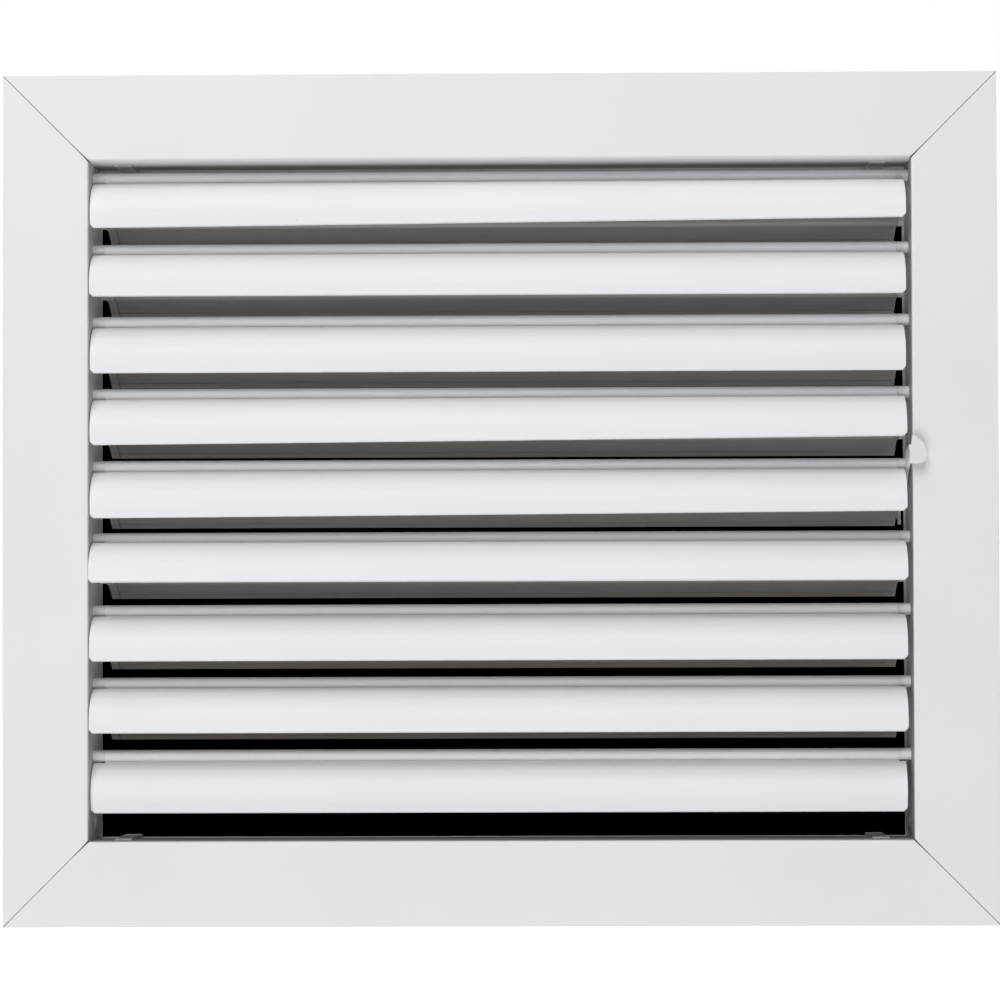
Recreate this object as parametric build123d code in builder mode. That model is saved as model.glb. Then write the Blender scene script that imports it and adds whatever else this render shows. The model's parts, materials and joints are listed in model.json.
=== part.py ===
from build123d import *

import os
from math import cos, degrees, atan2, radians, sin

# Ceiling air outlet: a mitred aluminium frame, curved blades that each turn on a bead along their top edge,
# and a ganged damper of flat blades behind them, worked by a small lever on the right.
# X runs along the blades, Y into the duct and Z up. The origin is the middle of the opening, on the plane
# where the flange seats. Depths are measured from the front face.

# Frame
opening_width = 290.0
opening_height = 240.0
flange_width = 30.0
flange_wall = 1.4
flange_lip = 6.0
lip_wall = 1.4
neck_wall = 1.3
neck_depth = 22.0
inner_edge_radius = 0.8
outer_edge_radius = 0.6
root_radius = 0.6
mitre_gap = 0.2

# Corner keys and the channel that holds them behind the flange
key_width = 11.6
key_wall = 2.0
key_leg = 46.0
key_play = 0.1
channel_offset = 9.0
rib_wall = 1.2
hook_reach = 1.6
hook_wall = 1.0

# Fixing screws through the side necks
screw_hole_radius = 2.2
screw_depth = 16.5
screw_edge = 6.0

# Front blades
blade_count = 9
first_pivot_drop = 4.7
last_pivot_rise = 29.7
pivot_depth = 12.0
bead_radius = 2.1
bead_bore_radius = 1.1
face_radius = 12.0
face_drop = 13.6
skirt_length = 4.2
blade_wall = 1.2
lip_chamfer = 0.35
end_chamfer = 1.2
blade_left_gap = 0.4
blade_right_gap = 2.1
blade_tilts = [0.5, -0.5, 6.0, -0.5, 1.0, -9.0, 0.0, -2.0, 13.0]
blade_twists = [11.0, 0.0, 0.0, 10.0, 8.0, 0.0, 0.0, 0.0, 0.0]
twist_spans = 6

# Bushes that carry the front blades
bush_collar = 4.0
bush_stub_radius = 1.6
bush_pin = 8.0
bush_end_play = 0.3
bush_notch_play = 0.4
running_play = 0.05
seat_play = 0.02

# Small nylon mouldings have flats in place of round sides
moulded_sides = 8
collar_sides = 12

# Damper frame behind the neck
damper_rail_depth = 12.5
damper_wall = 1.2
damper_flange = 4.0
damper_recess = 0.5

# Damper blades
damper_pivot_depth = 29.5
damper_offset = -1.4
damper_slope = 27.0
damper_chord = 27.0
damper_blade_wall = 1.0
damper_hem = 3.0
damper_hem_wall = 1.6
damper_tube_radius = 2.0
damper_bore_radius = 1.05
damper_side_gap = 2.0
damper_pin = 8.0
damper_collar_radius = 1.7

# Cranks and link bar outside the left damper rail
crank_radius = 8.0
crank_lead = 40.0
crank_wall = 1.2
crank_hub_radius = 2.6
crank_pin_radius = 1.2
crank_pin_end = 0.5
side_play = 0.2
link_width = 6.0
link_wall = 1.0

# Drive bracket under the right end of the middle damper blade
drive_radius = 5.8
drive_pin_radius = 1.1
drive_ear_wall = 1.0
drive_ear_radius = 2.2
drive_tip_radius = 1.0
drive_tip_drop = 9.0
drive_tip_reach = 4.0
drive_foot = 14.5
drive_foot_wall = 0.8
drive_foot_chord = 6.6
drive_web_width = 3.0
drive_web_wall = 0.8
drive_play = 0.3

# Lever
lever_wall = 1.2
lever_gap = 0.4
lever_hub_radius = 4.0
lever_nose_radius = 1.8
lever_prong = 1.8
lever_prong_end = 19.0
lever_slot_start = 15.0
lever_slot_play = 0.4
prong_corner_radius = 0.8
tab_standoff = 2.2
tab_wall = 1.2
tab_width = 6.2
tab_rise = 9.2
tab_fall = 0.8
tab_lean = 1.0
tab_bulge = 2.8
tab_shoulder_across = 0.8
tab_shoulder_up = 0.68
tab_foot_across = 0.55

# Clips that hold the damper on the neck
clip_width = 6.0
clip_wall = 0.5
clip_inset = 11.0
clip_depth = 9.0
clip_hook = 2.4
clip_return = 5.0
clip_play = 0.3

# Places worked out from the sizes above
half_width = opening_width / 2
half_height = opening_height / 2
face_y = -flange_lip
pivot_y = face_y + pivot_depth
damper_y = face_y + damper_pivot_depth
neck_end_y = face_y + neck_depth
damper_end_y = neck_end_y + damper_rail_depth
middle = blade_count // 2
blade_pitch = (opening_height - first_pivot_drop - last_pivot_rise) / (blade_count - 1)
pivot_heights = [half_height - first_pivot_drop - blade_pitch * i for i in range(blade_count)]
damper_heights = [damper_offset + blade_pitch * (middle - i) for i in range(blade_count)]
blade_left = -half_width + blade_left_gap
blade_right = half_width - blade_right_gap
bead_end = half_width - bush_collar - bush_end_play
damper_inner = half_width + damper_recess
damper_outer = damper_inner + damper_wall
damper_half = half_width - damper_side_gap
pin_radius = bead_bore_radius - running_play
damper_pin_radius = damper_bore_radius - running_play
corner = (Align.MIN, Align.MIN)
depth_axis = Vector(0, 1, 0)
bush_spots = [(pivot_y, height) for height in pivot_heights]
damper_spots = [(damper_y, height) for height in damper_heights]


def save(piece, label):
    """Labels a finished piece and writes it to its own file."""
    piece.label = label
    export_step(piece, f"parts/{label}.step")


def tilted_plane(x, y, z, angle):
    """Plane across the blades at (x, y, z), with Y and Z turned by angle degrees about X."""
    turn = radians(angle)
    return Plane(origin=(x, y, z), x_dir=(0, cos(turn), sin(turn)), z_dir=(1, 0, 0))


def turning(radius):
    """Flatted outline of a moulded shaft, with its corners on the radius."""
    RegularPolygon(radius, moulded_sides)


def seated(radius, mode=Mode.ADD):
    """Flatted outline with its flats on the radius: a hole for a moulded shaft, or a stub fixed in one."""
    RegularPolygon(radius, moulded_sides, major_radius=False, mode=mode)


def make_rail(outward, offset, half_span):
    """One mitred side of the frame: flange, lip, key channel and neck in a single extrusion."""
    along = outward.cross(depth_axis)
    place = outward * offset
    plane = Plane(origin=place + depth_axis * face_y, x_dir=outward, z_dir=along)
    channel_width = key_width + 2 * key_play
    channel_depth = key_wall + 2 * key_play
    rib_depth = channel_depth + hook_wall
    with BuildPart() as rail:
        with BuildSketch(plane) as profile:
            Rectangle(flange_width, flange_wall, align=corner)
            Rectangle(neck_wall, neck_depth, align=corner)
            with Locations((flange_width - lip_wall, 0)):
                Rectangle(lip_wall, flange_lip, align=corner)
            with Locations((channel_offset - rib_wall, flange_wall)):
                Rectangle(rib_wall, rib_depth, align=corner)
            with Locations((channel_offset + channel_width, flange_wall)):
                Rectangle(rib_wall, rib_depth, align=corner)
            with Locations((channel_offset, flange_wall + channel_depth)):
                Rectangle(hook_reach, hook_wall, align=corner)
            with Locations((channel_offset + channel_width - hook_reach, flange_wall + channel_depth)):
                Rectangle(hook_reach, hook_wall, align=corner)
            front = profile.vertices().group_by(Axis.Y)[0].sort_by(Axis.X)
            fillet(front[0], inner_edge_radius)
            fillet(front[-1], outer_edge_radius)
            root = profile.vertices().sort_by_distance((neck_wall, flange_wall))[0]
            fillet(root, root_radius)
        extrude(amount=half_span + flange_width, both=True)
        for side in (1, -1):
            mitre = (along * side - outward).normalized()
            cut = place + along * (side * half_span) - mitre * (mitre_gap / 2)
            split(bisect_by=Plane(origin=cut, z_dir=mitre), keep=Keep.BOTTOM)
    return rail.part


def make_side_rail(side):
    """Left or right rail, with the holes for the bushes and the fixing screws in its neck."""
    screw_y = face_y + screw_depth
    screw_z = half_height - screw_edge
    with BuildPart() as rail:
        add(make_rail(Vector(side, 0, 0), half_width, half_height))
        with BuildSketch(Plane.YZ.offset(side * half_width)):
            with Locations(*bush_spots):
                seated(bush_stub_radius)
            with Locations((screw_y, screw_z), (screw_y, -screw_z)):
                Circle(screw_hole_radius)
        extrude(amount=side * neck_wall, mode=Mode.SUBTRACT)
    return rail.part


def make_level_rail(side):
    """Top or bottom rail, with the slots for the damper clips in its neck."""
    clip_x = half_width - clip_inset
    slot_y = face_y + clip_depth + clip_wall / 2
    with BuildPart() as rail:
        add(make_rail(Vector(0, 0, side), half_height, half_width))
        with BuildSketch(Plane.XY.offset(side * half_height)):
            with Locations((-clip_x, slot_y), (clip_x, slot_y)):
                Rectangle(clip_width + 2 * clip_play, clip_wall + 2 * clip_play)
        extrude(amount=side * neck_wall, mode=Mode.SUBTRACT)
    return rail.part


def make_key(side_x, side_z):
    """L-shaped plate that joins two rails at a corner, in the channels behind the flange."""
    centre = channel_offset + key_play + key_width / 2
    reach = key_leg / 2 - key_width / 2
    spot_x = side_x * (half_width + centre)
    spot_z = side_z * (half_height + centre)
    with BuildPart() as key:
        with BuildSketch(Plane.XZ.offset(-(face_y + flange_wall + key_play))):
            with Locations((spot_x - side_x * reach, spot_z)):
                Rectangle(key_leg, key_width)
            with Locations((spot_x, spot_z - side_z * reach)):
                Rectangle(key_width, key_leg)
        extrude(amount=-key_wall)
    return key.part


def blade_section(plane, skirt):
    """Curved wing of a blade below its pivot: a quarter arc that runs forward and a skirt of this length."""
    inner = face_radius - blade_wall
    lip = -face_drop - skirt
    with BuildSketch(plane) as section:
        with BuildLine():
            CenterArc((0, -face_drop), face_radius, 90, 90)
            Line((-face_radius, -face_drop), (-face_radius, lip))
            Line((-face_radius, lip), (-inner, lip))
            Line((-inner, lip), (-inner, -face_drop))
            CenterArc((0, -face_drop), inner, 180, -90)
            Line((0, -face_drop + inner), (0, -face_drop + face_radius))
        make_face()
        chamfer(section.vertices().group_by(Axis.Y)[0], lip_chamfer)
    return section.sketch


def make_blade(height, tilt, twist):
    """One front blade: the curved wing, the bead that it turns on and its notches for the bushes."""
    spans = twist_spans if twist else 1
    length = blade_right - blade_left
    span = 2 * bead_end / spans
    end_skirt = skirt_length - end_chamfer
    stations = [(0, end_skirt), (end_chamfer, skirt_length)]
    stations += [(span * i - bead_end - blade_left, skirt_length) for i in range(spans + 1)]
    stations += [(length - end_chamfer, skirt_length), (length, end_skirt)]
    sections = []
    for place, skirt in stations:
        angle = tilt + twist * (0.5 - place / length)
        sections.append(blade_section(tilted_plane(blade_left + place, pivot_y, height, angle), skirt))
    notch = 2 * (bead_radius + bush_notch_play)
    with BuildPart() as blade:
        loft(sections=sections, ruled=True)
        for side in (-1, 1):
            with BuildSketch(Plane.YZ.offset(side * bead_end)):
                with Locations((pivot_y, height)):
                    Rectangle(notch, notch)
            extrude(amount=side * bush_collar * 2, mode=Mode.SUBTRACT)
        with BuildSketch(Plane.YZ):
            with Locations((pivot_y, height)):
                Circle(bead_radius)
        extrude(amount=bead_end, both=True)
        with BuildSketch(Plane.YZ):
            with Locations((pivot_y, height)):
                seated(bead_bore_radius)
        extrude(amount=bead_end, both=True, mode=Mode.SUBTRACT)
    return blade.part


def make_bushes(side):
    """Nylon bushes of one side: a stub in the neck, a collar inside it and a pin into each bead."""
    with BuildPart() as bushes:
        with BuildSketch(Plane.YZ.offset(side * half_width)):
            with Locations(*bush_spots):
                seated(bush_stub_radius - seat_play)
        extrude(amount=side * neck_wall)
        with BuildSketch(Plane.YZ.offset(side * half_width)):
            with Locations(*bush_spots):
                RegularPolygon(bead_radius, collar_sides)
        extrude(amount=-side * bush_collar)
        with BuildSketch(Plane.YZ.offset(side * (half_width - bush_collar))):
            with Locations(*bush_spots):
                turning(pin_radius)
        extrude(amount=-side * (bush_pin + bush_end_play))
    return bushes.part


def make_damper_side(side):
    """Upright angle of the damper frame, bored for the damper pivots."""
    half_length = half_height + damper_recess + damper_wall
    flange_x = damper_outer + damper_flange / 2 - damper_wall
    with BuildPart() as rail:
        with BuildSketch(Plane.XY.offset(-half_length)):
            with Locations((side * (damper_inner + damper_wall / 2), neck_end_y + damper_rail_depth / 2)):
                Rectangle(damper_wall, damper_rail_depth)
            with Locations((side * flange_x, neck_end_y + damper_wall / 2)):
                Rectangle(damper_flange, damper_wall)
        extrude(amount=2 * half_length)
        with BuildSketch(Plane.YZ.offset(side * damper_inner)):
            with Locations(*damper_spots):
                seated(bush_stub_radius)
        extrude(amount=side * damper_wall, mode=Mode.SUBTRACT)
    return rail.part


def make_damper_end(side):
    """Level angle of the damper frame, fitted between the two upright ones."""
    inner = half_height + damper_recess
    with BuildPart() as rail:
        with BuildSketch(Plane.YZ.offset(-damper_inner)):
            with Locations((neck_end_y + damper_rail_depth / 2, side * (inner + damper_wall / 2))):
                Rectangle(damper_rail_depth, damper_wall)
            with Locations((neck_end_y + damper_wall / 2, side * (inner + damper_flange / 2))):
                Rectangle(damper_wall, damper_flange)
        extrude(amount=2 * damper_inner)
    return rail.part


def damper_plane(x, height):
    """Plane across a damper blade at x, with its local X along the chord towards the rear edge."""
    return tilted_plane(x, damper_y, height, -damper_slope)


def make_damper_blade(height, notched):
    """Flat damper blade with folded hems and a pivot tube; the driven one is notched for its bracket."""
    hem = (damper_chord - damper_hem) / 2
    with BuildPart() as blade:
        with BuildSketch(damper_plane(-damper_half, height)):
            Rectangle(2 * hem, damper_blade_wall)
            with Locations((-hem, 0), (hem, 0)):
                Rectangle(damper_hem, damper_hem_wall)
            Circle(damper_tube_radius)
            seated(damper_bore_radius, Mode.SUBTRACT)
        extrude(amount=2 * damper_half)
        if notched:
            notch_start = damper_half - drive_ear_wall - side_play
            notch_rear = drive_ear_radius + drive_play - drive_radius
            notch_size = (notch_rear + damper_chord / 2, damper_hem_wall)
            with BuildSketch(damper_plane(notch_start, height)):
                with Locations((-damper_chord / 2, 0)):
                    Rectangle(*notch_size, align=(Align.MIN, Align.CENTER))
            extrude(amount=damper_half - notch_start, mode=Mode.SUBTRACT)
    return blade.part


def make_crank(height):
    """Crank on the left end of a damper blade: pin in the tube, shaft in the rail, arm and pin outside."""
    lead = radians(crank_lead - damper_slope)
    arm_inner = damper_outer + side_play
    arm_outer = arm_inner + crank_wall
    link_outer = arm_outer + side_play + link_wall
    centre = (damper_y, height)
    tip = (damper_y + crank_radius * cos(lead), height + crank_radius * sin(lead))
    with BuildPart() as crank:
        with BuildSketch(damper_plane(-damper_half, height)):
            seated(damper_bore_radius - seat_play)
        extrude(amount=damper_pin)
        with BuildSketch(Plane.YZ.offset(-arm_inner)):
            with Locations(centre):
                turning(bush_stub_radius - running_play)
        extrude(amount=arm_inner - damper_half)
        with BuildSketch(Plane.YZ.offset(-arm_inner)):
            with Locations(centre, tip):
                turning(crank_hub_radius)
            make_hull(mode=Mode.REPLACE)
        extrude(amount=-crank_wall)
        with BuildSketch(Plane.YZ.offset(-arm_outer)):
            with Locations(tip):
                turning(crank_pin_radius)
        extrude(amount=-(link_outer + crank_pin_end - arm_outer))
    return crank.part


def make_link():
    """Flat bar that gangs all the cranks."""
    lead = radians(crank_lead - damper_slope)
    link_inner = damper_outer + side_play + crank_wall + side_play
    pin_y = damper_y + crank_radius * cos(lead)
    rise = crank_radius * sin(lead)
    with BuildPart() as link:
        with BuildSketch(Plane.YZ.offset(-link_inner)):
            with Locations((pin_y, damper_heights[middle] + rise)):
                SlotCenterToCenter(blade_pitch * (blade_count - 1), link_width, rotation=90)
            with Locations(*[(pin_y, height + rise) for height in damper_heights]):
                seated(crank_pin_radius + running_play, Mode.SUBTRACT)
        extrude(amount=-link_wall)
    return link.part


def make_damper_bushes():
    """Bushes in the right damper rail: a stub in it, a collar inside it and a pin into each damper tube."""
    with BuildPart() as bushes:
        with BuildSketch(Plane.YZ.offset(damper_inner)):
            with Locations(*damper_spots):
                seated(bush_stub_radius - seat_play)
        extrude(amount=damper_wall)
        with BuildSketch(Plane.YZ.offset(damper_inner)):
            with Locations(*damper_spots):
                turning(damper_collar_radius)
        extrude(amount=damper_half + bush_end_play - damper_inner)
        with BuildSketch(Plane.YZ.offset(damper_half + bush_end_play)):
            with Locations(*damper_spots):
                turning(damper_pin_radius)
        extrude(amount=-(damper_pin + bush_end_play))
    return bushes.part


def make_drive_bracket():
    """Bracket under the driven damper blade: a foot, a tapered ear with a web, and the drive pin."""
    height = damper_heights[middle]
    ear_start = damper_half - drive_ear_wall
    under = -damper_blade_wall / 2
    foot_rear = -damper_tube_radius - drive_play
    pin_reach = half_width - lever_gap - damper_half
    web_root = under - drive_foot_wall
    ear_plane = damper_plane(damper_half, height)
    web_start = ear_plane.from_local_coords((-drive_tip_reach, 0, 0))
    web_plane = Plane(origin=web_start, x_dir=(1, 0, 0), z_dir=-ear_plane.x_dir)
    with BuildPart() as bracket:
        with BuildSketch(damper_plane(ear_start, height)):
            with Locations((-drive_radius, 0)):
                Circle(drive_ear_radius)
            with Locations((-drive_tip_reach, -drive_tip_drop)):
                Circle(drive_tip_radius)
            make_hull(mode=Mode.REPLACE)
        extrude(amount=drive_ear_wall)
        with BuildSketch(damper_plane(damper_half - drive_foot, height)):
            with Locations((foot_rear, under)):
                Rectangle(drive_foot_chord, drive_foot_wall, align=(Align.MAX, Align.MAX))
        extrude(amount=drive_foot)
        with BuildSketch(web_plane):
            with BuildLine():
                Polyline(
                    (-drive_web_width, web_root),
                    (0, web_root),
                    (0, -drive_tip_drop),
                    (-drive_ear_wall, -drive_tip_drop),
                    close=True,
                )
            make_face()
        extrude(amount=drive_web_wall)
        with BuildSketch(ear_plane):
            with Locations((-drive_radius, 0)):
                Circle(drive_pin_radius)
        extrude(amount=pin_reach)
    return bracket.part


def make_lever():
    """Lever on the middle blade's right bush: thumb tab in front, fork round the drive pin behind."""
    hub = Vector(0, pivot_y, pivot_heights[middle])
    slope = radians(damper_slope)
    pin = Vector(0, damper_y - drive_radius * cos(slope), damper_heights[middle] + drive_radius * sin(slope))
    fork_angle = degrees(atan2(pin.Z - hub.Z, pin.Y - hub.Y))
    slot_width = 2 * (drive_pin_radius + lever_slot_play)
    prong_side = slot_width / 2 + lever_prong - prong_corner_radius
    prong_tip = lever_prong_end - prong_corner_radius
    inner_face = half_width - lever_gap - lever_wall
    fork_plane = tilted_plane(inner_face, hub.Y, hub.Z, fork_angle)
    flat_plane = tilted_plane(inner_face, hub.Y, hub.Z, 0)
    tab_back = face_y - tab_standoff
    nose = (tab_back - tab_wall + lever_nose_radius - hub.Y, (tab_rise - tab_fall) / 2)
    tab_plane = Plane(origin=(inner_face, tab_back, hub.Z), x_dir=(1, 0, 0), z_dir=(0, -1, 0))
    shoulder = (tab_width * tab_shoulder_across, tab_rise * tab_shoulder_up)
    with BuildPart() as lever:
        with BuildSketch(fork_plane):
            Circle(lever_hub_radius)
            with Locations((prong_tip, prong_side), (prong_tip, -prong_side)):
                Circle(prong_corner_radius)
            make_hull(mode=Mode.REPLACE)
        extrude(amount=lever_wall)
        with BuildSketch(flat_plane):
            Circle(lever_hub_radius)
            with Locations(nose):
                Circle(lever_nose_radius)
            make_hull(mode=Mode.REPLACE)
        extrude(amount=lever_wall)
        with BuildSketch(fork_plane):
            with Locations((lever_slot_start, 0)):
                Rectangle(lever_prong_end, slot_width, align=(Align.MIN, Align.CENTER))
            Circle(bead_radius + running_play)
        extrude(amount=lever_wall, mode=Mode.SUBTRACT)
        with BuildSketch(tab_plane):
            with BuildLine():
                upper = ThreePointArc((tab_lean, tab_rise), shoulder, (tab_width, tab_bulge))
                lower = TangentArc(upper @ 1, (tab_width * tab_foot_across, -tab_fall), tangent=upper % 1)
                Line(lower @ 1, (0, -tab_fall))
                Line((0, -tab_fall), (tab_lean, tab_rise))
            make_face()
        extrude(amount=tab_wall)
    return lever.part


def make_clip(side_x, side_z):
    """Spring strip that hooks into a slot of the neck and wraps the rear edge of the damper frame."""
    start = face_y + clip_depth
    bend = damper_end_y + clip_wall
    wrap = damper_recess + damper_wall
    with BuildPart() as clip:
        with BuildSketch(Plane.YZ.offset(side_x * (half_width - clip_inset) - clip_width / 2)):
            with Locations(((start + bend) / 2, side_z * (half_height - clip_wall / 2))):
                Rectangle(bend - start, clip_wall)
            with Locations((start + clip_wall / 2, side_z * (half_height + clip_hook / 2 - clip_wall / 2))):
                Rectangle(clip_wall, clip_hook + clip_wall)
            with Locations((bend - clip_wall / 2, side_z * (half_height + wrap / 2))):
                Rectangle(clip_wall, wrap + 2 * clip_wall)
            with Locations((bend - clip_return / 2, side_z * (half_height + wrap + clip_wall / 2))):
                Rectangle(clip_return, clip_wall)
        extrude(amount=clip_width)
    return clip.part


os.makedirs("parts", exist_ok=True)

# Frame rails, corner keys, clips and bushes
sides = {"left": -1, "right": 1}
levels = {"top": 1, "bottom": -1}
for level, side_z in levels.items():
    save(make_level_rail(side_z), f"{level}_rail")
    for side, side_x in sides.items():
        save(make_key(side_x, side_z), f"corner_key_{level}_{side}")
        save(make_clip(side_x, side_z), f"damper_clip_{level}_{side}")
for side, side_x in sides.items():
    save(make_side_rail(side_x), f"{side}_rail")
    save(make_bushes(side_x), f"pivot_bushes_{side}")

# Front blades
for number, (height, tilt, twist) in enumerate(zip(pivot_heights, blade_tilts, blade_twists), start=1):
    save(make_blade(height, tilt, twist), f"blade_{number}")

# Damper
for side, side_x in sides.items():
    save(make_damper_side(side_x), f"damper_rail_{side}")
for level, side_z in levels.items():
    save(make_damper_end(side_z), f"damper_rail_{level}")
save(make_damper_bushes(), "damper_bushes_right")
for number, height in enumerate(damper_heights, start=1):
    save(make_damper_blade(height, number == middle + 1), f"damper_blade_{number}")
    save(make_crank(height), f"damper_crank_{number}")
save(make_link(), "link_bar")
save(make_drive_bracket(), "drive_bracket")
save(make_lever(), "damper_lever")
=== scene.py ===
import json
import logging
import math
from dataclasses import dataclass
from enum import Enum
from typing import Iterable

import bmesh
import bpy
from mathutils import Matrix, Vector


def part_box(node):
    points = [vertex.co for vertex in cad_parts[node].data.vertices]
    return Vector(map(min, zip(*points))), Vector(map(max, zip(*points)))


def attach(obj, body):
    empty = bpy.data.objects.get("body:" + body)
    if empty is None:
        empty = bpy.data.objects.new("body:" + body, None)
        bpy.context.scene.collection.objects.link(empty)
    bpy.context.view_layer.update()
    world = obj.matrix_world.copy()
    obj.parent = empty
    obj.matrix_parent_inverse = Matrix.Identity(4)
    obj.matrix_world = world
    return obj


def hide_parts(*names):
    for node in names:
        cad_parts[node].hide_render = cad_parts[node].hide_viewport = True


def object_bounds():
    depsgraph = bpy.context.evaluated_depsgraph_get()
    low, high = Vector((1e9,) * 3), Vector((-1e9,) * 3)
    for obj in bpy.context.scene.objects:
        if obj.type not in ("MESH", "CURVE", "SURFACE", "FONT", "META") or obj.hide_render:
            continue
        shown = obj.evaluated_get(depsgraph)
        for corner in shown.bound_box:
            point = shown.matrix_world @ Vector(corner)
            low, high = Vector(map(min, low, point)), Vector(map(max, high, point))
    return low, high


# Looks of a ceiling air outlet: white coated frame and curved blades in front of a bare aluminium damper.
# Everything is in metres, in the frame of the solids: X along the blades, Y into the duct, Z up.

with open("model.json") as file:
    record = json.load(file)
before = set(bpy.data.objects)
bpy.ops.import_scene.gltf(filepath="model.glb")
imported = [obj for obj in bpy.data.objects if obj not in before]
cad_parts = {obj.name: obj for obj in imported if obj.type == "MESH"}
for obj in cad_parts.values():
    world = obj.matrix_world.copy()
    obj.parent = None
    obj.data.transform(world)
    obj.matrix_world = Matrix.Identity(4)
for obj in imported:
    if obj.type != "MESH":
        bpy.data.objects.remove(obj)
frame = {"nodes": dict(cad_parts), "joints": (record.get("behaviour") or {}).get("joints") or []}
CAD_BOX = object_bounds()
log = logging.getLogger("air_outlet")

Colour = tuple[float, float, float]
Triple = tuple[float, float, float]
Pair = tuple[float, float]
Socket = bpy.types.NodeSocket

WHITE = (1.0, 1.0, 1.0, 1.0)
BLACK = (0.0, 0.0, 0.0, 1.0)

# Half the opening's width and height, at the neck's inner faces and a little inside its walls.
OPENING_HALF: Pair = (0.145, 0.120)
NECK_HALF: Pair = (0.1454, 0.1204)


class Side(Enum):
    """Left or right end of the outlet, as seen from the front."""

    LEFT = -1
    RIGHT = 1


class Level(Enum):
    """Lower or upper edge of the outlet."""

    BOTTOM = -1
    TOP = 1


def corner_names(stem: str) -> list[str]:
    """Names of the four nodes of a kind that has one at each corner."""
    return [f"{stem}_{level.name.lower()}_{side.name.lower()}" for level in Level for side in Side]


class Nodes:
    """The nodes of a material or of the surroundings, with short calls to add and join them."""

    def __init__(self, owner: bpy.types.Material | bpy.types.World) -> None:
        """Turns the owner's nodes on.

        Args:
            owner: What holds the nodes.
        """
        owner.use_nodes = True
        self.tree = owner.node_tree

    def node(self, kind: str, **settings: object) -> bpy.types.Node:
        """Adds a node.

        Args:
            kind: The node's type.
            settings: Values for the node's own properties.

        Returns:
            The new node.
        """
        made = self.tree.nodes.new(kind)
        for name, value in settings.items():
            setattr(made, name, value)
        return made

    def join(self, source: Socket, target: Socket) -> None:
        """Links an output to an input."""
        self.tree.links.new(source, target)

    def maths(self, operation: str, first: Socket, second: float | Socket) -> Socket:
        """Joins two values by an operation.

        Args:
            operation: Name of the operation.
            first: First value.
            second: Second value, a number or a socket.

        Returns:
            The result.
        """
        step = self.node("ShaderNodeMath", operation=operation)
        self.join(first, step.inputs[0])
        if isinstance(second, (int, float)):
            step.inputs[1].default_value = second
        else:
            self.join(second, step.inputs[1])
        return step.outputs[0]

    def seen(self) -> Socket:
        """Tells rays that are seen from those that light surfaces.

        Returns:
            1 for rays from the camera, from gloss or through glass, and 0 for others.
        """
        rays = self.node("ShaderNodeLightPath").outputs
        direct = self.maths("MAXIMUM", rays["Is Camera Ray"], rays["Is Glossy Ray"])
        return self.maths("MAXIMUM", direct, rays["Is Transmission Ray"])

    def either(self, share: Socket, first: bpy.types.Node, second: bpy.types.Node) -> Socket:
        """Mixes two shaders.

        Args:
            share: How much of the second shader shows.
            first: Shader at a share of 0.
            second: Shader at a share of 1.

        Returns:
            The mixed shader.
        """
        mix = self.node("ShaderNodeMixShader")
        for source, target in zip((share, first.outputs[0], second.outputs[0]), mix.inputs):
            self.join(source, target)
        return mix.outputs[0]


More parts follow.
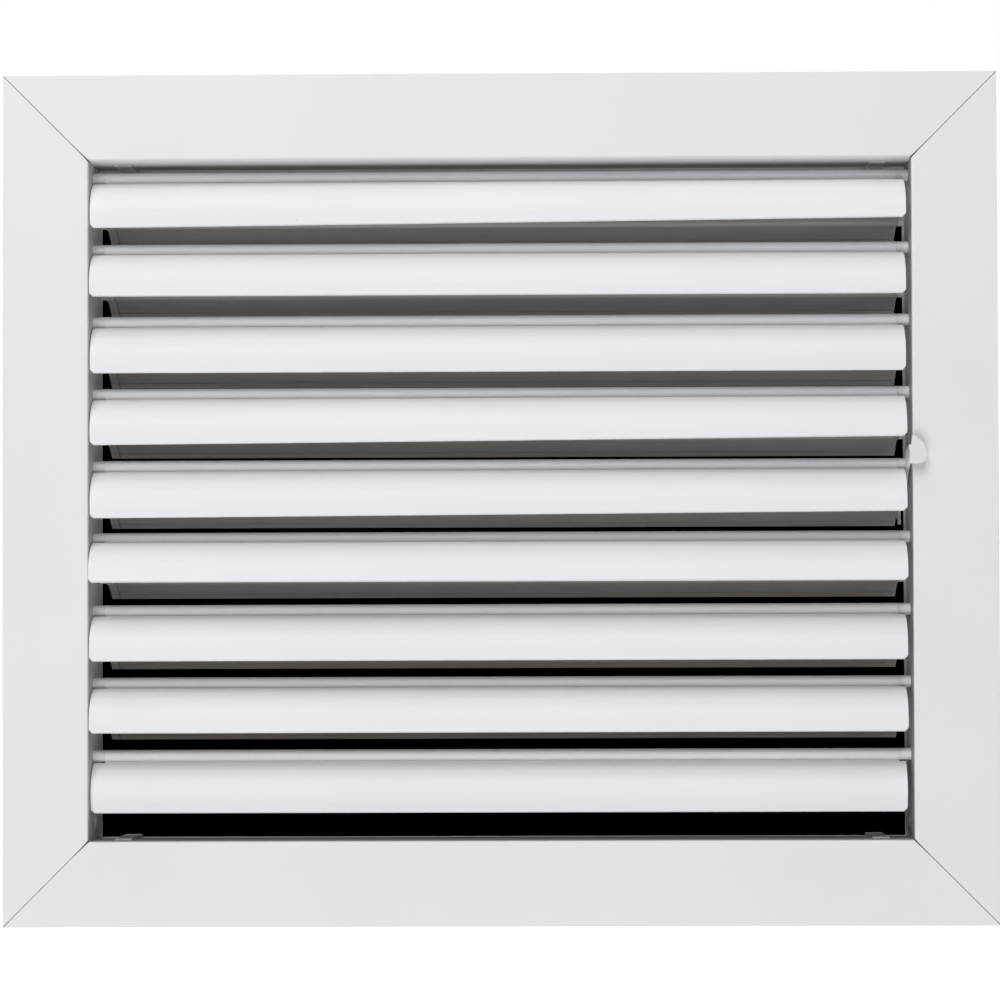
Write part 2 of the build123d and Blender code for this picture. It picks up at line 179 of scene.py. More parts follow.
class Graph(Nodes):
    """A material's nodes, with patterns placed by Object coordinates."""

    # Share of a speck's radius that has its full colour.
    speck_core: float = 0.6

    def __init__(self, name: str) -> None:
        """Starts a material with its principled shader.

        Args:
            name: The material's name.
        """
        self.material = bpy.data.materials.new(name)
        super().__init__(self.material)
        self.shader = self.tree.nodes["Principled BSDF"]
        self.place = self.node("ShaderNodeTexCoord").outputs["Object"]

    def finish(self, colour: Socket, rough: Socket, gloss: float, metallic: float = 0.0) -> None:
        """Gives the principled shader its colour and shine.

        Args:
            colour: Base colour.
            rough: Roughness.
            gloss: Specular level.
            metallic: How far it reflects like metal.
        """
        self.join(colour, self.shader.inputs["Base Color"])
        self.join(rough, self.shader.inputs["Roughness"])
        self.shader.inputs["Specular IOR Level"].default_value = gloss
        self.shader.inputs["Metallic"].default_value = metallic

    def show(self, surface: Socket) -> None:
        """Shows another shader in place of the principled one."""
        self.tree.nodes.remove(self.shader)
        self.join(surface, self.tree.nodes["Material Output"].inputs["Surface"])

    def stretched(self, scale: Triple) -> Socket:
        """Object coordinates multiplied by a scale for each axis.

        Args:
            scale: Factors along X, Y and Z.

        Returns:
            The stretched coordinates.
        """
        mapping = self.node("ShaderNodeMapping")
        mapping.inputs["Scale"].default_value = scale
        self.join(self.place, mapping.inputs["Vector"])
        return mapping.outputs["Vector"]

    def noise(self, scale: float, detail: float, place: Socket | None = None) -> Socket:
        """Fractal noise.

        Args:
            scale: Cells in a metre.
            detail: Octaves.
            place: Coordinates, or None for Object coordinates.

        Returns:
            A value from 0 to 1.
        """
        texture = self.node("ShaderNodeTexNoise")
        texture.inputs["Scale"].default_value = scale
        texture.inputs["Detail"].default_value = detail
        self.join(place or self.place, texture.inputs["Vector"])
        return texture.outputs["Fac"]

    def between(self, value: Socket, low: float, high: float, start: float = 0.0,
                stop: float = 1.0) -> Socket:
        """Maps a value onto a range, clamped.

        Args:
            value: What is mapped.
            low: Result at start.
            high: Result at stop.
            start: Value that gives low.
            stop: Value that gives high.

        Returns:
            The mapped value.
        """
        ramp = self.node("ShaderNodeMapRange")
        for name, number in (("From Min", start), ("From Max", stop), ("To Min", low), ("To Max", high)):
            ramp.inputs[name].default_value = number
        self.join(value, ramp.inputs["Value"])
        return ramp.outputs["Result"]

    def blend(self, share: Socket, first: Colour | Socket, second: Colour | Socket) -> Socket:
        """Mixes two colours.

        Args:
            share: How much of the second colour shows.
            first: Colour or socket at a share of 0.
            second: Colour or socket at a share of 1.

        Returns:
            The mixed colour.
        """
        mix = self.node("ShaderNodeMix", data_type="RGBA")
        self.join(share, mix.inputs["Factor"])
        # The colour sockets share their names with sockets for numbers, so they go by place.
        for socket, colour in ((mix.inputs[6], first), (mix.inputs[7], second)):
            if isinstance(colour, tuple):
                socket.default_value = (*colour, 1.0)
            else:
                self.join(colour, socket)
        return mix.outputs[2]

    def axis(self, name: str) -> Socket:
        """One axis of the Object coordinates.

        Args:
            name: X, Y or Z.

        Returns:
            The place along that axis, in metres.
        """
        axes = self.node("ShaderNodeSeparateXYZ")
        self.join(self.place, axes.inputs["Vector"])
        return axes.outputs[name]

    def size(self, value: Socket) -> Socket:
        """A value without its sign."""
        return self.maths("ABSOLUTE", value, 0.0)

    def bump(self, height: Socket, depth: float, strength: float) -> None:
        """Roughens the surface.

        Args:
            height: Height pattern.
            depth: Height of a full step, in metres.
            strength: How much of it shows.
        """
        bump = self.node("ShaderNodeBump")
        bump.inputs["Distance"].default_value = depth
        bump.inputs["Strength"].default_value = strength
        self.join(height, bump.inputs["Height"])
        self.join(bump.outputs["Normal"], self.shader.inputs["Normal"])

    def cells(self, scale: float) -> tuple[Socket, Socket, Socket]:
        """Irregular cells, each with random values of its own.

        Args:
            scale: Cells in a metre.

        Returns:
            Distance from a cell's middle, in cells, and two random values from 0 to 1.
        """
        texture = self.node("ShaderNodeTexVoronoi")
        texture.inputs["Scale"].default_value = scale
        self.join(self.place, texture.inputs["Vector"])
        parts = self.node("ShaderNodeSeparateColor")
        self.join(texture.outputs["Color"], parts.inputs["Color"])
        return texture.outputs["Distance"], parts.outputs["Red"], parts.outputs["Green"]

    def specks(self, scale: float, radius: float, share: float) -> Socket:
        """Sparse round specks, one at most in each cell.

        Args:
            scale: Cells in a metre.
            radius: Speck radius, in cells.
            share: Share of the cells that hold a speck.

        Returns:
            1 on a speck and 0 elsewhere.
        """
        distance, chance, _ = self.cells(scale)
        chosen = self.maths("LESS_THAN", chance, share)
        spot = self.between(distance, 1.0, 0.0, radius * self.speck_core, radius)
        return self.maths("MULTIPLY", chosen, spot)


@dataclass(frozen=True)
class PowderCoat:
    """White powder coat with a faint orange peel and a few specks of dust.

    Args:
        name: Material name.
        colour: Clean coat.
        shade: Coat where it is a little thinner.
        dust: Specks.
        rough: Roughness range.
        gloss: Specular level.
        cloud_scale: Cells of the thinner clouds in a metre.
        cloud_detail: Octaves of the clouds.
        cloud_range: Cloud values where the coat starts to thin and where it is thinnest.
        peel_scale: Cells of the orange peel in a metre.
        peel_detail: Octaves of the peel.
        peel_depth: Height of the peel.
        peel_strength: How much of the peel shows.
        speck_scale: Cells for specks in a metre.
        speck_radius: Speck radius, in cells.
        speck_share: Share of the cells that hold a speck.
    """

    name: str
    colour: Colour
    shade: Colour
    dust: Colour = (0.3, 0.28, 0.25)
    rough: Pair = (0.50, 0.60)
    gloss: float = 0.12
    cloud_scale: float = 14.0
    cloud_detail: float = 3.0
    cloud_range: Pair = (0.3, 0.75)
    peel_scale: float = 700.0
    peel_detail: float = 2.0
    peel_depth: float = 0.00004
    peel_strength: float = 0.35
    speck_scale: float = 55.0
    speck_radius: float = 0.016
    speck_share: float = 0.2

    def build(self) -> bpy.types.Material:
        """Makes the material.

        Returns:
            The material.
        """
        graph = Graph(self.name)
        cloud = graph.noise(self.cloud_scale, self.cloud_detail)
        coat = graph.blend(graph.between(cloud, 0.0, 1.0, *self.cloud_range), self.colour, self.shade)
        coat = self.shade_and_seams(graph, coat)
        specks = graph.specks(self.speck_scale, self.speck_radius, self.speck_share)
        graph.finish(graph.blend(specks, coat, self.dust), graph.between(cloud, *self.rough), self.gloss)
        graph.bump(graph.noise(self.peel_scale, self.peel_detail), self.peel_depth, self.peel_strength)
        return graph.material

    def shade_and_seams(self, graph: Graph, coat: Socket) -> Socket:
        """Changes the coat where the piece calls for it, as the rails do with painted shade in the neck; a
        plain coat stays as it is.
        """
        return coat


@dataclass(frozen=True)
class NeckShade:
    """Painted shade on the inside of one rail's neck: a darker coat that stands in for the shade there.

    Args:
        rail: Name of the rail's node.
        colour: Coat where the painted shade is darkest.
        depths: Depths where the painted shade starts and where it is darkest.
    """

    rail: str
    colour: Colour
    depths: Pair = (-0.0060, -0.0030)


@dataclass(frozen=True, kw_only=True)
class RailCoat(PowderCoat):
    """A rail's coat, with painted shade inside the neck and dark along the mitre cuts.

    Args:
        neck: Painted shade inside the neck.
        neck_half: Half the width and height within which the neck lies.
        mitre_offset: How much farther a mitre point is across than up.
        seam: Bare edge of a mitre cut.
        seam_widths: Where the dark seam starts to fade and where it ends.
        seam_growth: Length at the inner corner over which the seam is wider.
        seam_narrowing: Share that distances shrink to at the corner, which widens the seam there.
        seam_depth: Depth where the seam ends.
    """

    neck: NeckShade
    neck_half: Pair = NECK_HALF
    mitre_offset: float = OPENING_HALF[0] - OPENING_HALF[1]
    seam: Colour = (0.10, 0.088, 0.08)
    seam_widths: Pair = (0.00013, 0.00020)
    seam_growth: float = 0.006
    seam_narrowing: float = 0.4
    seam_depth: float = -0.0035

    def shade_and_seams(self, graph: Graph, coat: Socket) -> Socket:
        """Paints shade onto the coat inside the neck and darkens the mitre cuts.

        Args:
            graph: The material's nodes.
            coat: Clean coat.

        Returns:
            The coat to show.
        """
        across = graph.size(graph.axis("X"))
        up = graph.size(graph.axis("Z"))
        depth = graph.axis("Y")
        corner = self.neck_half[0]
        inside = graph.maths("MULTIPLY", graph.maths("LESS_THAN", across, corner),
                             graph.maths("LESS_THAN", up, self.neck_half[1]))
        # Painted shade: inside the neck the coat greys with depth, as if shade falls there.
        neck_shade_share = graph.maths("MULTIPLY", inside, graph.between(depth, 0.0, 1.0, *self.neck.depths))
        coat = graph.blend(neck_shade_share, coat, self.neck.colour)
        slip = graph.maths("SUBTRACT", graph.maths("SUBTRACT", across, up), self.mitre_offset)
        narrowing = graph.between(across, self.seam_narrowing, 1.0, corner, corner + self.seam_growth)
        distance = graph.maths("MULTIPLY", graph.size(slip), narrowing)
        line = graph.maths("MULTIPLY", graph.between(distance, 1.0, 0.0, *self.seam_widths),
                           graph.maths("LESS_THAN", depth, self.seam_depth))
        return graph.blend(line, coat, self.seam)


@dataclass(frozen=True)
class MillAluminium:
    """Bare rolled aluminium with fine streaks along the sheet.

    Args:
        name: Material name.
        light: Colour of the bright streaks.
        dark: Colour of the dull streaks.
        metallic: How far it reflects like metal.
        gloss: Specular level.
        rough: Roughness range.
        streak: Streaks in a metre along X, Y and Z.
        streak_detail: Octaves of the streaks.
        streak_range: Streak values that are bright and dull.
        stain_scale: Cells of the stains in a metre.
        stain_detail: Octaves of the stains.
        stain_least: Share of the streaks that shows where there is no stain.
        grain_depth: Height of the streaks.
        grain_strength: How much of that height shows.
    """

    name: str
    light: Colour
    dark: Colour
    metallic: float = 0.3
    gloss: float = 0.1
    rough: Pair = (0.5, 0.65)
    streak: Triple = (7.0, 620.0, 620.0)
    streak_detail: float = 3.0
    streak_range: Pair = (0.3, 0.7)
    stain_scale: float = 26.0
    stain_detail: float = 4.0
    stain_least: float = 0.5
    grain_depth: float = 0.00002
    grain_strength: float = 0.3

    def build(self) -> bpy.types.Material:
        """Makes the material.

        Returns:
            The material.
        """
        graph = Graph(self.name)
        streaks = graph.noise(1.0, self.streak_detail, graph.stretched(self.streak))
        stains = graph.noise(self.stain_scale, self.stain_detail)
        share = graph.maths("MULTIPLY", graph.between(streaks, 0.0, 1.0, *self.streak_range),
                            graph.between(stains, self.stain_least, 1.0))
        metal = self.marked(graph, graph.blend(share, self.light, self.dark))
        graph.finish(metal, graph.between(streaks, *self.rough), self.gloss, self.metallic)
        graph.bump(streaks, self.grain_depth, self.grain_strength)
        return graph.material

    def marked(self, graph: Graph, metal: Socket) -> Socket:
        """Changes the metal where the piece calls for it; plain metal stays as it is."""
        return metal


@dataclass(frozen=True)
class BladeSheet(MillAluminium):
    """Damper blade sheet with painted light towards the rear hem, and marked off at its left end.

    Args:
        bright: Painted light, lighter metal towards the rear hem.
        bright_depths: Depths where the painted light starts and where it is brightest.
        end: Lighter metal at the left end.
        end_share: How much of the lighter metal shows.
        end_start: Where that end starts along X.
        mark: Fine dark line where it starts.
        mark_share: How much of the line shows.
        mark_widths: Where the line starts to fade and where it ends.
    """

    bright: Colour = (0.60, 0.575, 0.54)
    bright_depths: Pair = (0.019, 0.0365)
    end: Colour = (0.62, 0.61, 0.59)
    end_share: float = 0.5
    end_start: float = -0.1400
    mark: Colour = (0.13, 0.125, 0.12)
    mark_share: float = 0.45
    mark_widths: Pair = (0.00015, 0.0005)

    def marked(self, graph: Graph, metal: Socket) -> Socket:
        """Paints light onto the rear and marks the left end off.

        Args:
            graph: The material's nodes.
            metal: Streaked metal.

        Returns:
            The metal to show.
        """
        # Painted light: the sheet lightens towards the rear hem, as if more light fell there.
        rear = graph.between(graph.axis("Y"), 0.0, 1.0, *self.bright_depths)
        metal = graph.blend(rear, metal, self.bright)
        across = graph.axis("X")
        past = graph.maths("LESS_THAN", across, self.end_start)
        metal = graph.blend(graph.maths("MULTIPLY", past, self.end_share), metal, self.end)
        slip = graph.size(graph.maths("SUBTRACT", across, self.end_start))
        line = graph.between(slip, self.mark_share, 0.0, *self.mark_widths)
        return graph.blend(line, metal, self.mark)


@dataclass(frozen=True)
class RailMetal(MillAluminium):
    """Damper rail metal, with painted shade where it meets the neck.

    Args:
        joint: Painted shade in the joint with the neck.
        joint_depths: Depths where the painted shade starts to fade and where it ends.
    """

    joint: Colour = (0.16, 0.16, 0.165)
    joint_depths: Pair = (0.0180, 0.0205)

    def marked(self, graph: Graph, metal: Socket) -> Socket:
        """Paints shade onto the front edge, where it meets the neck."""
        # The grime share below is painted shade in the joint with the neck.
        grime = graph.between(graph.axis("Y"), 1.0, 0.0, *self.joint_depths)
        return graph.blend(grime, metal, self.joint)


@dataclass(frozen=True)
class Moulding:
    """A mottled finish with a fine grain, for plastic and for grime.

    Args:
        name: Material name.
        colour: Main colour.
        shade: Mottled colour.
        rough: Roughness range.
        grain: Depth of the grain, in metres.
        gloss: Specular level.
        mottle_scale: Cells of the mottling in a metre.
        mottle_detail: Octaves of the mottling.
        grain_scale: Cells of the grain in a metre.
        grain_detail: Octaves of the grain.
        grain_strength: How much of the grain shows.
    """

    name: str
    colour: Colour
    shade: Colour
    rough: Pair
    grain: float
    gloss: float = 0.15
    mottle_scale: float = 160.0
    mottle_detail: float = 3.0
    grain_scale: float = 1800.0
    grain_detail: float = 2.0
    grain_strength: float = 0.4

    def build(self) -> bpy.types.Material:
        """Makes the material.

        Returns:
            The material.
        """
        graph = Graph(self.name)
        mottle = graph.noise(self.mottle_scale, self.mottle_detail)
        colour = graph.blend(mottle, self.colour, self.shade)
        graph.finish(colour, graph.between(mottle, *self.rough), self.gloss)
        graph.bump(graph.noise(self.grain_scale, self.grain_detail), self.grain, self.grain_strength)
        return graph.material


@dataclass(frozen=True)
class ZincSteel:
    """Zinc-plated sheet steel with a soft spangle.

    Args:
        name: Material name.
        light: Bright grains.
        dark: Dull grains.
        spangle_scale: Spangles in a metre.
        rough: Roughness range.
        metallic: How far it reflects like metal.
        gloss: Specular level.
        grain_scale: Cells of the fine grain in a metre.
        grain_detail: Octaves of the grain.
        grain_depth: Height of the grain.
        grain_strength: How much of the grain shows.
    """

    name: str
    light: Colour
    dark: Colour
    spangle_scale: float = 240.0
    rough: Pair = (0.5, 0.65)
    metallic: float = 0.5
    gloss: float = 0.15
    grain_scale: float = 900.0
    grain_detail: float = 3.0
    grain_depth: float = 0.00002
    grain_strength: float = 0.3

    def build(self) -> bpy.types.Material:
        """Makes the material.

        Returns:
            The material.
        """
        graph = Graph(self.name)
        _, tone, shine = graph.cells(self.spangle_scale)
        colour = graph.blend(tone, self.light, self.dark)
        graph.finish(colour, graph.between(shine, *self.rough), self.gloss, self.metallic)
        graph.bump(graph.noise(self.grain_scale, self.grain_detail), self.grain_depth, self.grain_strength)
        return graph.material


def dress(nodes: Iterable[str], material: bpy.types.Material) -> None:
    """Gives nodes of the frame one material.

    Args:
        nodes: Node names.
        material: The material.
    """
    for name in nodes:
        data = frame["nodes"][name].data
        data.materials.clear()
        data.materials.append(material)
        log.info("%s wears %s", name, material.name)


def new_piece(name: str, shape: bmesh.types.BMesh, material: bpy.types.Material) -> bpy.types.Object:
    """Turns a finished bmesh into an object at the origin.

    Args:
        name: Object name.
        shape: The mesh, which is freed.
        material: Its material.

    Returns:
        The new object.
    """
    data = bpy.data.meshes.new(name)
    shape.to_mesh(data)
    shape.free()
    data.materials.append(material)
    piece = bpy.data.objects.new(name, data)
    bpy.context.scene.collection.objects.link(piece)
    log.info("%s is made of %s", name, material.name)
    return piece


@dataclass
class CoatedFrame:
    """The four mitred rails, the corner keys behind them and the fill in the mitre gaps.

    Args:
        colour: Clean coat of the rails.
        shade: Their coat where it is a little thinner.
        necks: Painted shade inside each rail's neck, with its own grey for each rail.
        zinc: Finish of the keys.
        grime: Finish of the mitre gaps in the face.
        flange: Where the fill in the face ends outside the opening.
        neck_wall: Where the fill in the neck ends outside the opening.
        corner_round: Where the fill in the face starts outside the opening.
        fill_thickness: Thickness of both fills.
        face_depths: Front and rear of the fill in the face.
        neck_depths: Front and rear of the fill in the neck.
    """

    colour: Colour = (0.80, 0.80, 0.805)
    shade: Colour = (0.775, 0.775, 0.78)
    # Painted shade: each rail's neck gets its own grey, darkest on the rails where the least light falls.
    necks: tuple[NeckShade, ...] = (
        NeckShade("top_rail", (0.20, 0.198, 0.20), (-0.0048, 0.0125)),
        NeckShade("bottom_rail", (0.25, 0.247, 0.25)),
        NeckShade("left_rail", (0.58, 0.575, 0.58)),
        NeckShade("right_rail", (0.33, 0.327, 0.33)),
    )
    zinc: ZincSteel = ZincSteel("key_zinc", (0.36, 0.365, 0.37), (0.25, 0.255, 0.26))
    grime: Moulding = Moulding("mitre_grime", (0.10, 0.088, 0.08), (0.07, 0.062, 0.056), (0.7, 0.8), 0.00001)
    flange: float = 0.0299
    neck_wall: float = 0.0013
    corner_round: float = 0.0006
    fill_thickness: float = 0.00018
    face_depths: Pair = (-0.00592, -0.0047)
    neck_depths: Pair = (-0.0050, 0.0158)

    def build(self) -> None:
        """Dresses the rails and keys and fills the mitre gaps."""
        coats = {}
        for neck in self.necks:
            coats[neck.rail] = RailCoat(f"{neck.rail}_coat", self.colour, self.shade, neck=neck).build()
            dress((neck.rail,), coats[neck.rail])
        dress(corner_names("corner_key"), self.zinc.build())
        face_reach = (self.corner_round, self.flange)
        self.add_fills("mitre_grime", self.grime.build(), face_reach, self.face_depths)
        # The fills in the neck wear the right rail's coat, painted neck shade included.
        self.add_fills("neck_corner_coat", coats["right_rail"], (0.0, self.neck_wall), self.neck_depths)

    def add_fills(self, name: str, material: bpy.types.Material, reach: Pair, depths: Pair) -> None:
        """Fills the same stretch of all four mitre gaps.

        Args:
            name: Name of the piece.
            material: Its material.
            reach: Where it starts and ends outside the opening, along X and along Z.
            depths: Front and rear of the fill.
        """
        shape = bmesh.new()
        for side in Side:
            for level in Level:
                self.add_fill(shape, side, level, reach, depths)
        bmesh.ops.recalc_face_normals(shape, faces=shape.faces)
        fill = new_piece(name, shape, material)
        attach(fill, "frame")

    def add_fill(self, shape: bmesh.types.BMesh, side: Side, level: Level, reach: Pair, depths: Pair) -> None:
        """Adds a thin slab in one mitre gap.

        Args:
            shape: Mesh that takes the slab.
            side: Side of the corner.
            level: Level of the corner.
            reach: Where it starts and ends outside the opening, along X and along Z.
            depths: Front and rear of the slab.
        """
        across, up = side.value, level.value
        middle = sum(reach) / 2
        place = Vector((across * (OPENING_HALF[0] + middle), sum(depths) / 2,
                        up * (OPENING_HALF[1] + middle)))
        length = (reach[1] - reach[0]) * math.sqrt(2)
        size = Matrix.Diagonal((length, depths[1] - depths[0], self.fill_thickness, 1.0))
        turn = Matrix.Rotation(-across * up * math.pi / 4, 4, "Y")
        bmesh.ops.create_cube(shape, size=1.0, matrix=Matrix.Translation(place) @ turn @ size)


@dataclass
class FrontBlades:
    """The curved blades, each on its own body.

    Args:
        coat: Their finish.
        count: How many there are.
    """

    coat: PowderCoat = PowderCoat("blade_coat", (0.82, 0.83, 0.85), (0.80, 0.81, 0.83), peel_depth=0.00003)
    count: int = 9

    def build(self) -> None:
        """Dresses the blades."""
        dress((f"blade_{number}" for number in range(1, self.count + 1)), self.coat.build())


@dataclass
class PivotBushes:
    """Round nylon bushes that stand for the flatted solids at the blade ends.

    Args:
        nylon: Their finish.
        count: How many there are on each side.
        wall: Half the width between the side walls of the neck.
        stub: Length and radius of the stub in the neck.
        collar: Length and radius of the collar inside it.
        pin: Length and radius of the pin in the bead.
        chamfer: Chamfer on the collar's inner edge.
        steps: Flats round a bush.
        merge_distance: Points closer than this become one.
        smooth_angle: Edges flatter than this look smooth.
    """

    nylon: Moulding = Moulding("bush_nylon", (0.82, 0.83, 0.85), (0.79, 0.80, 0.82), (0.5, 0.6), 0.00002)
    count: int = 9
    wall: float = OPENING_HALF[0]
    stub: Pair = (0.0013, 0.00156)
    collar: Pair = (0.00424, 0.00208)
    pin: Pair = (0.0080, 0.00098)
    chamfer: float = 0.00015
    steps: int = 32
    merge_distance: float = 1e-7
    smooth_angle: float = math.radians(35)

    def build(self) -> None:
        """Makes the bushes of both sides."""
        nylon = self.nylon.build()
        spots = {joint["child"]: joint["pos_m"] for joint in frame["joints"]}
        for side in Side:
            shape = bmesh.new()
            for number in range(1, self.count + 1):
                self.add_bush(shape, side, Vector(spots[f"blade_{number}"]))
            bmesh.ops.recalc_face_normals(shape, faces=shape.faces)
            name = f"pivot_bushes_{side.name.lower()}"
            piece = new_piece(f"round_{name}", shape, nylon)
            for face in piece.data.polygons:
                face.use_smooth = True
            piece.data.set_sharp_from_angle(angle=self.smooth_angle)
            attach(piece, "frame")
            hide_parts(name)

    def add_bush(self, shape: bmesh.types.BMesh, side: Side, pivot: Vector) -> None:
        """Spins one bush: stub in the neck, collar inside it and pin in the bead.

        Args:
            shape: Mesh that takes the bush.
            side: Side of the outlet.
            pivot: A point on the blade's axis.
        """
        outer = self.wall + self.stub[0]
        inner = self.wall - self.collar[0]
        tip = inner - self.pin[0]
        rings = ((outer, 0.0), (outer, self.stub[1]), (self.wall, self.stub[1]), (self.wall, self.collar[1]),
                 (inner + self.chamfer, self.collar[1]), (inner, self.collar[1] - self.chamfer),
                 (inner, self.pin[1]), (tip, self.pin[1]), (tip, 0.0))
        points = [shape.verts.new((side.value * along, pivot.y, pivot.z + radius)) for along, radius in rings]
        edges = [shape.edges.new(pair) for pair in zip(points, points[1:])]
        bmesh.ops.spin(shape, geom=points + edges, cent=pivot, axis=(1, 0, 0), angle=2 * math.pi,
                       steps=self.steps, use_merge=True, use_duplicate=False)
        bmesh.ops.remove_doubles(shape, verts=shape.verts, dist=self.merge_distance)


@dataclass
class Damper:
    """Damper frame, blades, cranks, link bar, bracket and clips.

    Args:
        sheet: Finish of the blades.
        bar: Finish of the rails and the link bar.
        nylon: Finish of the cranks and bushes.
        zinc: Finish of the clips and the bracket.
        count: How many blades there are.
    """

    sheet: MillAluminium = BladeSheet("damper_sheet", (0.37, 0.365, 0.355), (0.285, 0.285, 0.28))
    bar: MillAluminium = RailMetal("damper_rails", (0.66, 0.66, 0.65), (0.54, 0.54, 0.54))
    nylon: Moulding = Moulding("crank_nylon", (0.66, 0.66, 0.64), (0.58, 0.58, 0.56), (0.5, 0.6), 0.00002)
    zinc: ZincSteel = ZincSteel("clip_zinc", (0.50, 0.50, 0.49), (0.38, 0.385, 0.39))
    count: int = 9

    def build(self) -> None:
        """Dresses the damper."""
        numbers = range(1, self.count + 1)
        rails = [f"damper_rail_{place.name.lower()}" for place in (*Side, *Level)]
        cranks = [f"damper_crank_{number}" for number in numbers]
        dress((f"damper_blade_{number}" for number in numbers), self.sheet.build())
        dress([*rails, "link_bar"], self.bar.build())
        dress([*cranks, "damper_bushes_right"], self.nylon.build())
        dress([*corner_names("damper_clip"), "drive_bracket"], self.zinc.build())


@dataclass
class ThumbLever:
    """The lever and its thumb tab.

    Args:
        plastic: Its finish.
    """

    plastic: Moulding = Moulding("lever_plastic", (0.74, 0.74, 0.75), (0.71, 0.71, 0.72), (0.3, 0.4), 0.00001,
                                 gloss=0.3)

    def build(self) -> None:
        """Dresses the lever."""
        dress(("damper_lever",), self.plastic.build())


@dataclass(frozen=True)
class SoftLamp:
    """A square soft lamp aimed at the middle of the opening.

    Args:
        name: Lamp name.
        place: Where it stands.
        size: Side of the square.
        watts: Power.
    """

    name: str
    place: Triple
    size: float
    watts: float

    def build(self) -> None:
        """Adds the lamp to the scene."""
        data = bpy.data.lights.new(self.name, "AREA")
        data.shape = "SQUARE"
        data.size = self.size
        data.energy = self.watts
        lamp = bpy.data.objects.new(self.name, data)
        place = Vector(self.place)
        turn = (-place).to_track_quat("-Z", "Y").to_matrix().to_4x4()
        lamp.matrix_world = Matrix.Translation(place) @ turn
        bpy.context.scene.collection.objects.link(lamp)


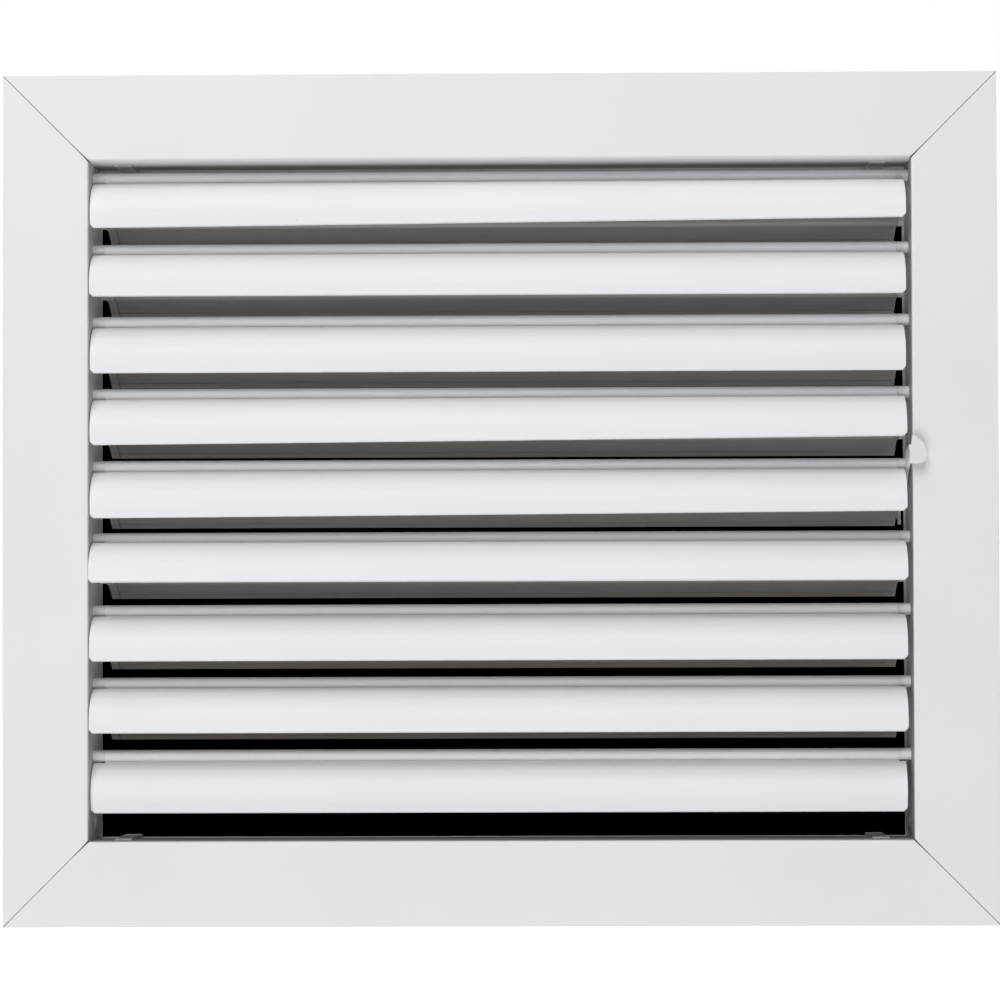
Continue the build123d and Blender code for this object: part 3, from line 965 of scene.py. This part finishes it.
@dataclass
class Studio:
    """Floor, dark card behind the damper, clear pane in the neck, lamps and white surroundings.

    Args:
        floor_half: Half the floor's side.
        floor_grey: How pale the floor is where light falls on it.
        floor_rough: Its roughness.
        floor_glow: Light that it shows the camera by itself.
        card_depth: Place of the card along Y.
        card_half: Half the card's width and height.
        pane_depth: Place of the pane along Y.
        pane_half: Half the pane's width and height.
        sky: Strength of the light from the surroundings.
        sky_tint: Colour of that light.
        lamps: The lamps.
    """

    floor_half: float = 3.0
    floor_grey: float = 0.35
    floor_rough: float = 0.9
    floor_glow: float = 0.95
    card_depth: float = 0.038
    card_half: Pair = (0.26, 0.23)
    pane_depth: float = 0.0163
    pane_half: Pair = NECK_HALF
    sky: float = 0.04
    sky_tint: Colour = (0.97, 0.985, 1.0)
    lamps: tuple[SoftLamp, ...] = (
        SoftLamp("high", (-0.2, -1.1, 1.0), 1.0, 12.7),
        SoftLamp("steep", (-0.2, -0.6, 1.4), 1.0, 6.4),
        SoftLamp("low", (-0.2, -1.1, -0.9), 1.0, 11.9),
        SoftLamp("rear", (-0.6, 1.3, 0.9), 1.0, 11.0),
        SoftLamp("side", (1.3, 0.4, 0.6), 0.8, 6.0),
    )

    def build(self) -> None:
        """Sets the stage round the outlet."""
        self.add_floor()
        self.add_card()
        self.add_pane()
        self.add_sky()
        for lamp in self.lamps:
            lamp.build()

    def add_floor(self) -> None:
        """Pale floor under the flange's lower edge, white to the camera and still shaded by the outlet."""
        graph = Graph("pale_floor")
        inputs = graph.shader.inputs
        inputs["Base Color"].default_value = (self.floor_grey, self.floor_grey, self.floor_grey, 1.0)
        inputs["Roughness"].default_value = self.floor_rough
        inputs["Emission Color"].default_value = WHITE
        graph.join(graph.maths("MULTIPLY", graph.seen(), self.floor_glow), inputs["Emission Strength"])
        shape = bmesh.new()
        place = Matrix.Translation((0, 0, CAD_BOX[0][2]))
        bmesh.ops.create_grid(shape, x_segments=1, y_segments=1, size=self.floor_half, matrix=place)
        bmesh.ops.recalc_face_normals(shape, faces=shape.faces)
        floor = new_piece("floor", shape, graph.material)
        floor.visible_shadow = False

    def add_card(self) -> None:
        """Dark card close behind the damper, black to rays that have crossed the pane and else clear."""
        graph = Graph("dark_card")
        clear = graph.node("ShaderNodeBsdfTransparent")
        black = graph.node("ShaderNodeEmission")
        black.inputs["Color"].default_value = BLACK
        crossed = graph.node("ShaderNodeLightPath").outputs["Transparent Depth"]
        behind = graph.node("ShaderNodeNewGeometry").outputs["Backfacing"]
        graph.show(graph.either(graph.maths("GREATER_THAN", crossed, behind), clear, black))
        self.add_sheet("dark_card", self.card_depth, self.card_half, graph.material)

    def add_pane(self) -> None:
        """Clear pane across the neck, which marks the rays that cross it."""
        graph = Graph("clear_pane")
        graph.show(graph.node("ShaderNodeBsdfTransparent").outputs[0])
        self.add_sheet("clear_pane", self.pane_depth, self.pane_half, graph.material)

    def add_sheet(self, name: str, depth: float, half: Pair, material: bpy.types.Material) -> None:
        """Adds an upright sheet that faces the front and takes no light.

        Args:
            name: Object name.
            depth: Place along Y.
            half: Half its width and height.
            material: Its material.
        """
        shape = bmesh.new()
        corners = [(-half[0], -half[1]), (half[0], -half[1]), (half[0], half[1]), (-half[0], half[1])]
        shape.faces.new([shape.verts.new((across, depth, up)) for across, up in corners])
        sheet = new_piece(name, shape, material)
        sheet.visible_diffuse = False
        sheet.visible_transmission = False
        sheet.visible_shadow = False

    def add_sky(self) -> None:
        """Even pale surroundings that the camera and reflections see as white."""
        world = bpy.data.worlds.new("surroundings")
        bpy.context.scene.world = world
        nodes = Nodes(world)
        light = nodes.tree.nodes["Background"]
        light.inputs["Color"].default_value = (*self.sky_tint, 1.0)
        light.inputs["Strength"].default_value = self.sky
        white = nodes.node("ShaderNodeBackground")
        white.inputs["Color"].default_value = WHITE
        output = nodes.tree.nodes["World Output"]
        nodes.join(nodes.either(nodes.seen(), light, white), output.inputs["Surface"])


@dataclass
class PhotoCamera:
    """Camera about a metre in front of the face, a little low and to the right of its middle.

    Args:
        distance: How far it stands in front of the face.
        right: How far it stands to the right of the middle.
        down: How far it stands below the middle.
        span: Width of the picture at the face.
        pitch: How far it looks up.
        yaw: How far it looks to the left.
        roll: How far it leans.
        nudge: Last shift of the picture across and up, as shares of its width.
        sensor: Width of the sensor, in millimetres.
    """

    distance: float = 1.0
    right: float = 0.026
    down: float = 0.053
    span: float = 0.3509
    pitch: float = math.radians(1.15)
    yaw: float = math.radians(0.6)
    roll: float = math.radians(-0.18)
    nudge: Pair = (-0.00015, -0.0014)
    sensor: float = 36.0

    def build(self) -> None:
        """Adds the camera and makes it the scene's own."""
        data = bpy.data.cameras.new("photo_camera")
        data.sensor_width = self.sensor
        data.lens = self.sensor * self.distance / self.span
        data.shift_x = (self.distance * math.tan(self.yaw) - self.right) / self.span + self.nudge[0]
        data.shift_y = (self.down - self.distance * math.tan(self.pitch)) / self.span + self.nudge[1]
        camera = bpy.data.objects.new("photo_camera", data)
        place = Vector((self.right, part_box("top_rail")[0][1] - self.distance, -self.down))
        aim = Matrix.Rotation(self.yaw, 4, "Z") @ Matrix.Rotation(math.pi / 2 + self.pitch, 4, "X")
        camera.matrix_world = Matrix.Translation(place) @ aim @ Matrix.Rotation(self.roll, 4, "Z")
        bpy.context.scene.collection.objects.link(camera)
        bpy.context.scene.camera = camera


def main() -> None:
    """Builds every sub-assembly, the stage and the camera."""
    logging.basicConfig(level=logging.INFO)
    bpy.context.scene.view_settings.view_transform = "Standard"
    outlet = (CoatedFrame(), FrontBlades(), PivotBushes(), Damper(), ThumbLever())
    for assembly in (*outlet, Studio(), PhotoCamera()):
        assembly.build()
        log.info("%s is in place", type(assembly).__name__)


if __name__ == "__main__":
    main()
